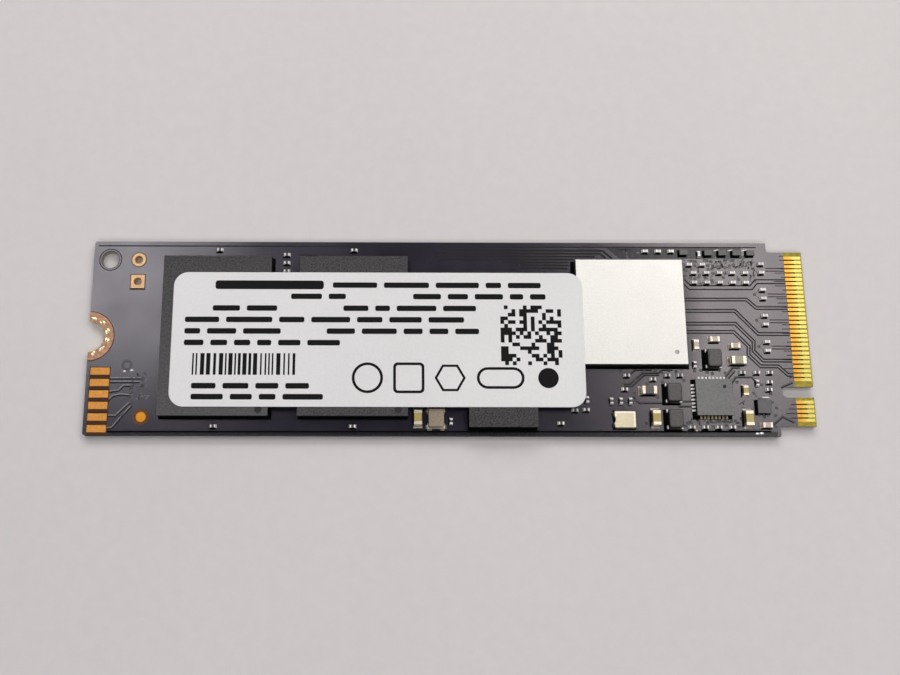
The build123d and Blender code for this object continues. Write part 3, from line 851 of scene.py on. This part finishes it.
# Dark bands in the mask, wider on the side away from the back edge

SHADE_SIDE = 0.14
SHADE_FRONT = 0.2
SHADE_BACK = 0.06
SHADE_INSET = 0.1

# How far the band reaches past the left and front of each taller part
TALL_SHADES = {
    "power_chip": (0.36, 0.4),
    "load_switch": (0.2, 0.16),
    "crystal_base": (0.0, 0.1),
    **{f"{name}_body": (0.4, 0.34) for name in INDUCTORS},
}

# How far the band reaches past the left, front and right of each package
PACKAGE_SHADES = {
    "flash_chip_1": (0.02, 0.26, 0.28),
    "flash_chip_2": (0.02, 0.26, 0.02),
    "buffer_chip": (0.1, 0.24, 0.02),
    "controller_substrate": (0.35, 0.3, 0.36),
}


def part_shades():
    shape = Shape()
    shaded = [(box, SHADE_SIDE, SHADE_FRONT) for box in small_part_boxes()]
    shaded += [(box_mm(node), side, front) for node, (side, front) in TALL_SHADES.items()]
    for (low, high), side, front in shaded:
        outline = rectangle(low.x - side, low.y - front, high.x, high.y + SHADE_BACK)
        shape.layer(outline, LINE_HEIGHT)
    # The line before the front edge, widened and darkened as painted shade
    add_lines(shape, [FRONT_EDGE_SHADE_LINE], FRONT_SHADE_WIDTH)
    shape.piece("part_shades", "shade_mask", "solder_mask")


def package_shades():
    """Dark bands around the foot of the ball grid packages."""
    inset = SHADE_INSET
    shape = Shape()
    for node, (left, front, right) in PACKAGE_SHADES.items():
        low, high = box_mm(node)
        outer = rectangle(low.x - left, low.y - front, high.x + right, high.y + SHADE_BACK)
        inner = rectangle(low.x + inset, low.y + inset, high.x - inset, high.y - inset)
        shape.band(outer, inner, CARD_TOP, CARD_TOP + LINE_HEIGHT)
    shape.piece("package_shades", "shade_mask", "solder_mask")


# Short lines in all directions between the small parts: fields, and how many lines are tried in each

BREAKOUT_FIELDS = [
    ((26.3, 6.3, 34.6, 9.2), 110),
    ((19.2, 9.3, 33.0, 10.2), 30),
    ((-35.2, -7.2, -33.3, -4.3), 14),
    ((25.6, -10.05, 31.4, -9.25), 26),
    ((31.6, -9.9, 33.6, -4.2), 12),
    ((22.4, -6.9, 25.6, -3.3), 12),
    ((34.3, -9.6, 35.7, -8.2), 5),
]
BREAKOUT_FINISHES = {"breakout_gaps": "breakout_gap", "breakout_ridges": "breakout_ridge"}
BREAKOUT_ANGLES = (0, 45, 90, 135)
BREAKOUT_LENGTHS = (0.2, 0.5)
BREAKOUT_WIDTHS = (0.1, 0.16)
PART_CLEARANCE = 0.26


def part_boxes():
    return small_part_boxes() + [box_mm(node) for node in TALL_SHADES]


def clear_of(boxes, x, y):
    for low, high in boxes:
        beside_x = max(low.x - x, x - high.x)
        beside_y = max(low.y - y, y - high.y)
        if max(beside_x, beside_y) < PART_CLEARANCE:
            return False
    return True


def breakout_lines():
    draw = random.Random(17)
    boxes = part_boxes()
    for name, finish in BREAKOUT_FINISHES.items():
        shape = Shape()
        for (x0, y0, x1, y1), count in BREAKOUT_FIELDS:
            for _ in range(count):
                start = Vector((draw.uniform(x0, x1), draw.uniform(y0, y1)))
                angle = math.radians(draw.choice(BREAKOUT_ANGLES))
                direction = Vector((math.cos(angle), math.sin(angle)))
                end = start + direction * draw.uniform(*BREAKOUT_LENGTHS)
                if clear_of(boxes, *start) and clear_of(boxes, *end):
                    add_lines(shape, [[start, end]], draw.uniform(*BREAKOUT_WIDTHS))
        shape.piece(name, finish, "solder_mask")


# Filled holes: in fields with a step, left out near the parts, and some by themselves

VIA_FIELDS = [
    ((26.3, 6.3, 33.4, 9.3), 0.5),
    ((25.4, -9.85, 31.6, -9.3), 0.45),
    ((24.2, -4.6, 30.5, -3.6), 0.7),
    ((31.6, -9.8, 35.7, -4.4), 0.95),
    ((19.0, -9.4, 25.6, -3.4), 1.15),
]
TEST_PAD_VIAS = [
    (-33.9, -4.75), (-33.75, -5.55), (-34.95, -5.7), (-35.1, -6.75), (-34.9, -7.6), (-35.8, -8.8),
]
VIA_RADIUS = 0.19
VIA_SHARE = 0.75
VIA_SWAY = 0.35

# Shares of the radius and of the height at each level of a filled hole, with a dimple in its middle
VIA_LEVELS = [(1.0, 0.0), (0.8, 0.8), (0.6, 1.0), (0.25, 0.5)]


def add_via(shape, x, y):
    levels = []
    for radius_share, height_share in VIA_LEVELS:
        outline = circle(x, y, VIA_RADIUS * radius_share, 16)
        levels.append((outline, CARD_TOP + VIA_HEIGHT * height_share))
    shape.stack(*levels)


def filled_holes():
    shape = Shape()
    draw = random.Random(5)
    boxes = part_boxes()
    for (x0, y0, x1, y1), step in VIA_FIELDS:
        for line in range(int((y1 - y0) / step) + 1):
            for column in range(int((x1 - x0) / step) + 1):
                x = x0 + step * (column + draw.uniform(-VIA_SWAY, VIA_SWAY))
                y = y0 + step * (line + draw.uniform(-VIA_SWAY, VIA_SWAY))
                if draw.random() < VIA_SHARE and clear_of(boxes, x, y):
                    add_via(shape, x, y)
    for x, y in TEST_PAD_VIAS:
        add_via(shape, x, y)
    for (low, _), middle in lane_pairs():
        add_via(shape, low.x - FORK_REACH, middle)
    shape.piece("filled_holes", "via_mask", "solder_mask")


# Bare laminate between the contacts and around the pads, with painted shade between the contacts and in
# front of the test pads

GAP_LIMIT = 0.4
# How much of each gap between contacts, from the mask on, is in painted shade
GAP_SHADE_SHARE = 0.62
# How far the opening reaches in front of each test pad, a wide band of painted shadow below the pad
TEST_PAD_SHADOW = 0.45
HEADER_FRONT = 0.2
FIDUCIAL_OPENING = 0.36
RING_OUTER = box_mm("screw_ring")[1].x - SCREW_END
PATCH_PLACE = (-35.59, -3.26)
PATCH_RADII = (0.32, 0.62)

# Inner and outer radius of the dark rims around the tooling hole
TOOLING_RIMS = [(1.19, 1.29), (1.0, 1.05)]


def contact_gaps():
    """Painted shade on the laminate between neighbouring contacts, over the part of each gap nearest
    the mask.
    """
    shape = Shape()
    contacts = sorted(solids_of("edge_contacts_top"), key=lambda pair: pair[0].y)
    for lower, upper in zip(contacts, contacts[1:]):
        if upper[0].y - lower[1].y < GAP_LIMIT:
            end = lower[0].x + GAP_SHADE_SHARE * (lower[1].x - lower[0].x)
            shape.layer(rectangle(lower[0].x, lower[1].y, end, upper[0].y), LINE_HEIGHT)
    shape.piece("contact_gaps", "shaded_laminate", "solder_mask")


def open_rectangle(shape, low, high, front):
    inner = rectangle(low.x, low.y, high.x, high.y)
    # Where the opening reaches further to the front, its band is painted shadow in front of the pad
    front_end = max(low.y - front, FRONT_EDGE)
    outer = rectangle(low.x - PAD_OPENING, front_end, high.x + PAD_OPENING, high.y + PAD_OPENING)
    shape.band(outer, inner, CARD_TOP, CARD_TOP + OPENING_HEIGHT)


def open_circle(shape, x, y, inner_radius, outer_radius):
    outer = circle(x, y, outer_radius, 48)
    inner = circle(x, y, inner_radius, 48)
    shape.band(outer, inner, CARD_TOP, CARD_TOP + OPENING_HEIGHT)


def open_around(shape, node, opening):
    low, high = box_mm(node)
    centre = (low + high) / 2
    radius = (high.x - low.x) / 2
    open_circle(shape, centre.x, centre.y, radius, radius + opening)


def mask_openings():
    shape = Shape()
    for low, high in solids_of("test_pads"):
        open_rectangle(shape, low, high, TEST_PAD_SHADOW)
    open_rectangle(shape, *box_mm("header_pad_square"), HEADER_FRONT)
    open_around(shape, "header_pad_round", PAD_OPENING)
    half_ring = arc(SCREW_END, 0, RING_OUTER + PAD_OPENING, -90, 90, 32)
    half_ring += arc(SCREW_END, 0, RING_OUTER, 90, -90, 32)
    shape.layer(half_ring, OPENING_HEIGHT)
    shape.piece("mask_openings", "bare_laminate", "solder_mask")


def fiducial_opening():
    shape = Shape()
    open_around(shape, "fiducial", FIDUCIAL_OPENING)
    shape.piece("fiducial_opening", "red_laminate", "solder_mask")


def tooling_ring():
    """A band without copper around the tooling hole, between two dark rims."""
    shape = Shape()
    for radii in TOOLING_RIMS:
        open_circle(shape, *TOOLING_HOLE, *radii)
    shape.piece("tooling_ring", "gap_mask", "solder_mask")


def bare_patch():
    """A dark patch with a lighter middle, between the screw ring and the fiducial."""
    shape = Shape()
    open_circle(shape, *PATCH_PLACE, *PATCH_RADII)
    shape.piece("bare_patch", "via_mask", "solder_mask")


# Bright rim of the crystal's lid

RIM_EDGE = 0.04
RIM_WIDTH = 0.15
RIM_HEIGHT = 0.01
NOTCH_SIDE = 0.34


def crystal_rim():
    """Along the lid's back and contact sides, and behind its side notch."""
    low, high = box_mm("crystal_lid")
    left, right = low.x + RIM_EDGE, high.x - RIM_EDGE
    front, back = low.y + RIM_EDGE, high.y - RIM_EDGE
    inner_left, inner_right = left + RIM_WIDTH, right - RIM_WIDTH
    inner_back = back - RIM_WIDTH
    notch = (low.y + high.y) / 2 + NOTCH_SIDE
    outline = [
        (left, notch), (inner_left, notch), (inner_left, inner_back), (inner_right, inner_back),
        (inner_right, front), (right, front), (right, back), (left, back),
    ]
    shape = Shape()
    shape.prism(outline, high.z, high.z + RIM_HEIGHT)
    shape.piece("crystal_rim", "rim_metal", "crystal_lid")


# Plated stitching holes of the screw ring, shown as painted glints

STITCH_ANGLES = (-72, -44, -15, 14, 46, 74)
STITCH_SWAY = 7
STITCH_RADII = (1.93, 2.25)
STITCH_LENGTHS = (0.16, 0.36)
STITCH_WIDTHS = (0.1, 0.2)
STITCH_HEIGHT = 0.04
STITCH_PARTS = 2


def ring_glints():
    """Bright spots on the screw ring at each of its stitching holes, painted glints of the light on the
    plating.
    """
    shape = Shape()
    draw = random.Random(3)
    for angle in STITCH_ANGLES:
        for _ in range(STITCH_PARTS):
            turn = angle + draw.uniform(-STITCH_SWAY, STITCH_SWAY)
            x, y = arc(SCREW_END, 0, draw.uniform(*STITCH_RADII), turn, turn, 1)[0]
            half_length = draw.uniform(*STITCH_LENGTHS)
            half_width = draw.uniform(*STITCH_WIDTHS)
            shape.dome(x, y, half_length, half_width, turn + 90, FOIL_TOP, STITCH_HEIGHT)
    shape.piece("ring_glints", "glint_gold", "pad_gold", smooth=True)


# Solder joints at the ends of the two-terminal parts and of the power chip's leads

JOINT_RISE = 0.5
JOINT_REACH = 0.38
JOINT_TOE = 0.02
JOINT_SIDE = 0.12
JOINT_ROWS = 4
JOINT_COLUMNS = 8
JOINT_FOOT = 0.03
CORNER_JOINT = 0.24
CORNER_REACH = 0.18
LEAD_RISE = 0.25
SMALL_REACH = 0.09

# Drops of solder, and on the card bright drops painted as glints: place, half length and half width
SOLDER_SPOTS = [(28.85, -0.2, 0.16, 0.16), (26.81, -10.4, 0.14, 0.1)]
CARD_GLINTS = [
    (-35.83, -3.93, 0.16, 0.1), (-35.05, -3.82, 0.2, 0.1),
    (33.4, -10.72, 0.22, 0.12), (33.87, -10.68, 0.24, 0.13),
]
SPOT_RISE = 0.5

# Glints beside the parts: half length, half width and turn
TERMINAL_GLINT = (0.2, 0.09, 90)
CORNER_GLINT = (0.16, 0.08, 0)
BEAD_GLINT = (0.38, 0.06, 12)
SWITCH_GLINT = (0.47, 0.1, 0)
CRYSTAL_GLINT = (0.13, 0.12, 0)
GLINT_SIDE = 0.1
GLINT_HEIGHT = 0.05
CORNER_SIDE = 0.12
BEAD_GLINT_HEIGHT = 0.06
PLAIN_BEADS = 2
SWITCH_GLINT_PLACE = (34.62, -6.75)
SWITCH_GLINT_RISE = 0.04
CRYSTAL_GLINT_SIDE = 0.05
CRYSTAL_GLINT_FRONT = 0.49
CRYSTAL_GLINT_HEIGHT = 0.2


def main_direction(away):
    if abs(away.x) > abs(away.y):
        return Vector((math.copysign(1, away.x), 0))
    return Vector((0, math.copysign(1, away.y)))


def solder_joint(shape, start, direction, half_width, reach, rise):
    """Solder that climbs from the card up the middle of an upright face."""
    side = Vector((-direction.y, direction.x))
    lines = []
    for row in range(JOINT_ROWS + 1):
        out = row / JOINT_ROWS
        line = []
        for column in range(JOINT_COLUMNS + 1):
            across = 2 * column / JOINT_COLUMNS - 1
            place = start + direction * (reach * out) + side * (half_width * across)
            height = (rise - JOINT_FOOT) * (1 - out) ** 2 * (1 - abs(across) ** 3) + JOINT_FOOT
            line.append((place.x, place.y, CARD_TOP + height))
        lines.append(line)
    shape.field(lines, CARD_TOP)


def chip_joint(shape, pair, direction, reach):
    low, high = pair
    half_size = ((high - low) / 2).to_2d()
    side = Vector((-direction.y, direction.x))
    height = high.z - CARD_TOP
    start = middle_of(pair).to_2d() + direction * abs(half_size.dot(direction))
    half_width = abs(half_size.dot(side)) + JOINT_SIDE * height
    reach = reach or JOINT_REACH * height + JOINT_TOE
    solder_joint(shape, start, direction, half_width, reach, JOINT_RISE * height)


def chip_joints(shape, groups, reach=None):
    """Solder at both ends of each chip, reaching as far as its height asks where no reach is given."""
    for bodies, terminals in groups:
        for body, ends, _ in chips(bodies, terminals):
            for end in ends:
                chip_joint(shape, end, main_direction(middle_of(end) - middle_of(body)), reach)


def corner_joints(shape, pair):
    """Solder around the four corners of a low terminal."""
    low, high = pair
    rise = high.z - CARD_TOP
    for x, outward in ((low.x, -1), (high.x, 1)):
        start = Vector((x, (low.y + high.y) / 2))
        solder_joint(shape, start, Vector((outward, 0)), (high.y - low.y) / 2, CORNER_REACH, rise)
        for y, beyond in ((low.y, -1), (high.y, 1)):
            start = Vector((x - outward * CORNER_JOINT, y))
            solder_joint(shape, start, Vector((0, beyond)), CORNER_JOINT, CORNER_REACH, rise)


def add_spots(shape, spots):
    for x, y, half_length, half_width in spots:
        shape.dome(x, y, half_length, half_width, 0, CARD_TOP, half_width * SPOT_RISE)


def solder_joints():
    shape = Shape()
    chip_joints(shape, CAPACITOR_GROUPS)
    for pair in solids_of("bulk_capacitor_terminals"):
        corner_joints(shape, pair)
    add_spots(shape, SOLDER_SPOTS)
    shape.piece("solder_joints", "solder", "solder", smooth=True)


def small_joints():
    """Solder at both ends of the smallest chips, bright where it is level and in painted shade where it
    is steep.
    """
    shape = Shape()
    chip_joints(shape, BYPASS_GROUPS, SMALL_REACH)
    shape.piece("small_joints", "pink_tin", "solder", smooth=True)


def lead_joints():
    """Solder from the power chip's pads up its sides."""
    shape = Shape()
    chip_low, chip_high = box_mm("power_chip")
    centre = middle_of((chip_low, chip_high))
    half_side = (chip_high.x - chip_low.x) / 2
    for low, high in solids_of("power_chip_pads"):
        away = middle_of((low, high)) - centre
        if away.length < half_side / 2:
            continue
        direction = main_direction(away)
        side = Vector((-direction.y, direction.x))
        size = (high - low).to_2d()
        start = centre.to_2d() + direction * half_side + side * away.to_2d().dot(side)
        reach = abs(away.to_2d().dot(direction)) + abs(size.dot(direction)) / 2 - half_side
        solder_joint(shape, start, direction, abs(size.dot(side)) / 2, reach, LEAD_RISE)
    shape.piece("lead_joints", "lead_tin", "solder", smooth=True)


def solder_glints():
    """Bright spots of solder painted as glints of the light: beside the inductors and beads, at the
    crystal and on the card.
    """
    shape = Shape()
    for name in INDUCTORS:
        terminals = solids_of(f"{name}_terminals")
        for low, high in terminals:
            x, y = low.x + GLINT_SIDE, (low.y + high.y) / 2
            shape.dome(x, y, *TERMINAL_GLINT, high.z, GLINT_HEIGHT)
        low, high = terminals[0]
        shape.dome(high.x - CORNER_SIDE, low.y + GLINT_SIDE, *CORNER_GLINT, high.z, GLINT_HEIGHT)
    for low, high in solids_of("beads")[PLAIN_BEADS:]:
        x, y = low.x - GLINT_SIDE, high.y + GLINT_SIDE
        shape.dome(x, y, *BEAD_GLINT, CARD_TOP, BEAD_GLINT_HEIGHT)
    tab = max(solids_of("load_switch_pads"), key=lambda pair: pair[1].y)
    rise = tab[1].z - CARD_TOP + SWITCH_GLINT_RISE
    shape.dome(*SWITCH_GLINT_PLACE, *SWITCH_GLINT, CARD_TOP, rise)
    low, high = box_mm("crystal_lid")
    x, y = low.x + CRYSTAL_GLINT_SIDE, (low.y + high.y) / 2 - CRYSTAL_GLINT_FRONT
    shape.dome(x, y, *CRYSTAL_GLINT, low.z, CRYSTAL_GLINT_HEIGHT)
    add_spots(shape, CARD_GLINTS)
    shape.piece("solder_glints", "bright_tin", "solder", smooth=True)


# Pin marks: a tinted disc on the floor of each shallow recess

MARK_DEPTH = 0.05
MARK_LAYER = 0.004
MARK_SHARE = 0.48
MARKED_NODES = {
    "flash_chip_1": "mark_mould",
    "flash_chip_2": "mark_mould",
    "power_chip": "mark_mould",
    "controller_lid": "mark_nickel",
}


def pin_marks():
    for node, finish in MARKED_NODES.items():
        floor = box_mm(node)[1].z - MARK_DEPTH
        places = [vertex.co / MM for vertex in frame["nodes"][node].data.vertices]
        low, high = extent([p for p in places if abs(p.z - floor) < WELD_GAP])
        radius = MARK_SHARE * (high.x - low.x)
        shape = Shape()
        outline = circle((low.x + high.x) / 2, (low.y + high.y) / 2, radius, 32)
        shape.prism(outline, floor, floor + MARK_LAYER)
        shape.piece(f"{node}_mark", finish, SLOT_OF[node])


# Label: a thin film with print in plain shapes

label_low, label_high = box_mm("label")
LABEL_RADIUS = 1.6
FILM_EDGE = 0.03
PRINT_HEIGHT = 0.004
FILM_TOP = label_high.z - 2 * PRINT_HEIGHT
PRINT_TOP = FILM_TOP + PRINT_HEIGHT

# Print places are measured from the label's back left corner, to the right and to the front
HEADING = (4.6, 0.95, 12.0, 1.0)
ROW_HEIGHT = 0.62
ROW_STARTS = [
    (17.6, 1.15), (13.0, 2.45), (26.5, 2.45), (4.4, 3.8), (18.8, 3.8), (1.4, 5.1), (1.4, 6.4),
    (17.0, 6.4), (1.4, 7.7), (2.4, 12.5), (2.4, 13.7),
]
ROW_ENDS = [43.0, 21.8, 43.0, 13.5, 35.0, 35.0, 12.6, 35.0, 21.8, 19.0, 19.0]
WORD_LENGTHS = (1.4, 5.2)
WORD_GAP = 0.75
BAR_CORNER = 0.3
MATRIX_PLACE = (36.1, 3.75)
MATRIX_CELLS = 16
MATRIX_CELL = 0.42
MATRIX_SHARE = 0.52
STRIPE_PLACE = (2.4, 9.2)
STRIPE_HEIGHT = 2.4
STRIPE_END = 13.8
STRIPE_WIDTHS = (0.18, 0.3, 0.45)
STRIPE_GAPS = (0.2, 0.32)

# Plain figures in a row: their middles, then the outer and inner radius of the ring and hexagon,
# and the outer and inner half length, half width and corner radius of the others
FIGURE_MIDDLE = 11.9
FIGURE_PLACES = {"ring": 21.5, "square": 26.0, "hexagon": 30.5, "capsule": 36.0, "disc": 41.2}
FIGURE_RADII = (1.7, 1.4)
SQUARE_SIZES = [(1.7, 1.7, 0.5), (1.4, 1.4, 0.25)]
CAPSULE_SIZES = [(2.6, 1.2, 1.2), (2.3, 0.9, 0.9)]
DISC_SHARE = 0.8


def label_outline(inset):
    return rounded(label_low.x + inset, label_low.y + inset, label_high.x - inset, label_high.y - inset,
                   LABEL_RADIUS - inset, 10)


def label_film():
    shape = Shape()
    shape.stack(
        (label_outline(0), label_low.z),
        (label_outline(0), FILM_TOP - FILM_EDGE),
        (label_outline(FILM_EDGE / 3), FILM_TOP - FILM_EDGE / 3),
        (label_outline(FILM_EDGE), FILM_TOP),
    )
    film = shape.piece("label_film", "label_film", "label_film")
    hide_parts("label")


def on_label(right, front):
    return label_low.x + right, label_high.y - front


def print_shape(shape, outline):
    shape.prism(outline, FILM_TOP, PRINT_TOP)


def print_bar(shape, right, front, length, height):
    x, y = on_label(right, front)
    print_shape(shape, rounded(x, y - height, x + length, y, height * BAR_CORNER, 3))


def print_block(shape, right, front, length, height):
    x, y = on_label(right, front)
    print_shape(shape, rectangle(x, y - height, x + length, y))


def print_rows(shape, draw):
    """Rows of bars in place of words."""
    print_bar(shape, *HEADING)
    for (right, front), end in zip(ROW_STARTS, ROW_ENDS):
        while True:
            length = draw.uniform(*WORD_LENGTHS)
            if right + length > end:
                break
            print_bar(shape, right, front, length, ROW_HEIGHT)
            right += length + WORD_GAP


def print_matrix(shape, draw):
    """A square field of random cells."""
    right, front = MATRIX_PLACE
    for line in range(MATRIX_CELLS):
        for column in range(MATRIX_CELLS):
            if draw.random() < MATRIX_SHARE:
                print_block(shape, right + MATRIX_CELL * column, front + MATRIX_CELL * line,
                            MATRIX_CELL, MATRIX_CELL)


def print_stripes(shape, draw):
    """A block of random stripes."""
    right, front = STRIPE_PLACE
    while right < STRIPE_END:
        width = draw.choice(STRIPE_WIDTHS)
        print_block(shape, right, front, width, STRIPE_HEIGHT)
        right += width + draw.choice(STRIPE_GAPS)


def print_figures(shape):
    """Plain figures in outline, and a disc."""
    places = {name: on_label(right, FIGURE_MIDDLE) for name, right in FIGURE_PLACES.items()}
    figures = [
        [circle(*places["ring"], radius, 40) for radius in FIGURE_RADII],
        [rounded_about(*places["square"], *size) for size in SQUARE_SIZES],
        [circle(*places["hexagon"], radius, 6) for radius in FIGURE_RADII],
        [rounded_about(*places["capsule"], *size) for size in CAPSULE_SIZES],
    ]
    for outer, inner in figures:
        shape.band(outer, inner, FILM_TOP, PRINT_TOP)
    print_shape(shape, circle(*places["disc"], FIGURE_RADII[1] * DISC_SHARE, 40))


def label_print():
    shape = Shape()
    draw = random.Random(23)
    print_rows(shape, draw)
    print_matrix(shape, draw)
    print_stripes(shape, draw)
    print_figures(shape)
    shape.piece("label_print", "label_ink", "label_film")


dress_nodes()
card_lines()
lane_forks()
shade_fields()
lid_shade_field()
line_highlights()
breakout_lines()
contact_gaps()
mask_openings()
fiducial_opening()
tooling_ring()
bare_patch()
crystal_rim()
ring_glints()
solder_joints()
small_joints()
lead_joints()
solder_glints()
part_shades()
package_shades()
filled_holes()
pin_marks()
label_film()
label_print()


# Floor, light and camera

FLOOR_SIDE = 3.0
FLOOR_GAP = 0.02
LIGHT_HEIGHT = 400
AMBIENT = 0.09
AMBIENT_COLOUR = (0.95, 0.94, 1.05, 1.0)

# Level lights over the table: left, front, right and back end, radiance and colour
SOFTBOXES = {
    "right_softbox": ((134, 38, 205, 330), 6.2, (1.0, 0.955, 0.91)),
    "far_softbox": ((205, 70, 620, 530), 2.5, (1.0, 0.97, 0.94)),
    "left_softbox": ((-215, 77, -102, 200), 5.4, (0.98, 0.98, 1.0)),
    "back_softbox": ((-350, 350, 210, 850), 4.8, (1.0, 0.99, 0.98)),
    "front_softbox": ((-300, -420, 300, -170), 2.5, (1.0, 0.99, 0.98)),
}
CAMERA_PLACE = (-6.905, -24.632, 108.906)
CAMERA_TURN = (12.801, -0.438, 0.03)
SENSOR_WIDTH = 36.0
LENS = 39.95
LENS_SHIFT = 0.0611
CLIP_ENDS = (0.001, 10.0)


def make_floor():
    shape = bmesh.new()
    bmesh.ops.create_grid(shape, x_segments=1, y_segments=1, size=FLOOR_SIDE / 2)
    mesh = bpy.data.meshes.new("floor")
    shape.to_mesh(mesh)
    shape.free()
    mesh.materials.append(FINISHES["floor"])
    floor = added("floor", mesh)
    floor.location.z = -FLOOR_GAP * MM


def add_softbox(name, ends, radiance, colour):
    x0, y0, x1, y1 = ends
    light = bpy.data.lights.new(name, "AREA")
    light.shape = "RECTANGLE"
    light.size = (x1 - x0) * MM
    light.size_y = (y1 - y0) * MM
    light.energy = radiance * math.pi * light.size * light.size_y
    light.color = colour
    added(name, light).location = Vector(((x0 + x1) / 2, (y0 + y1) / 2, LIGHT_HEIGHT)) * MM


def make_light():
    world = bpy.data.worlds.new("studio")
    world.use_nodes = True
    background = world.node_tree.nodes["Background"]
    background.inputs["Color"].default_value = AMBIENT_COLOUR
    background.inputs["Strength"].default_value = AMBIENT
    bpy.context.scene.world = world
    for name, (ends, radiance, colour) in SOFTBOXES.items():
        add_softbox(name, ends, radiance, colour)


def make_camera():
    data = bpy.data.cameras.new("camera")
    data.sensor_width = SENSOR_WIDTH
    data.lens = LENS
    data.shift_x = LENS_SHIFT
    data.clip_start, data.clip_end = CLIP_ENDS
    camera = added("camera", data)
    camera.location = Vector(CAMERA_PLACE) * MM
    camera.rotation_euler = [math.radians(a) for a in CAMERA_TURN]
    bpy.context.scene.camera = camera


make_floor()
make_light()
make_camera()
bpy.context.scene.view_settings.view_transform = "Standard"
